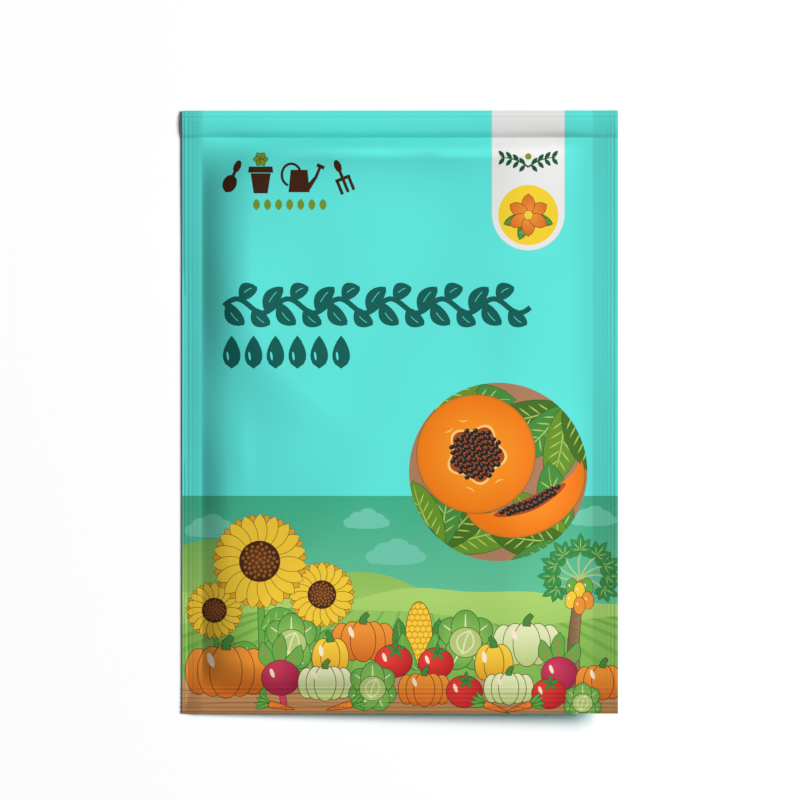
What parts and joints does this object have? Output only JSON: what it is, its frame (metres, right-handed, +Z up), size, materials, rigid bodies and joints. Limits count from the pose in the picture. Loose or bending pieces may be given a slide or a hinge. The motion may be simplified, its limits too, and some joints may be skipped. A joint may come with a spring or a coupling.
{
  "type": "seed packet",
  "caption": "Flat film sachet of seeds, heat sealed along all four sides, lying on its back with its printed front facing up.",
  "frame": {"origin": "on the surface that the packet lies on, under the middle of its outline", "axes": "+Z up, out of the printed front; +Y towards the top seal; +X towards the right edge of the front"},
  "size_m": [0.0826, 0.1144, 0.0068],
  "materials": {
    "printed_film": "turquoise laminate film with a satin sheen and a printed front",
    "back_film": "plain turquoise laminate film with a satin sheen",
    "seeds": "dull dark brown seeds"
  },
  "bodies": {
    "root": {"front_film": "printed_film", "back_film": "back_film", "seed_fill": "seeds"}
  },
  "joints": []
}
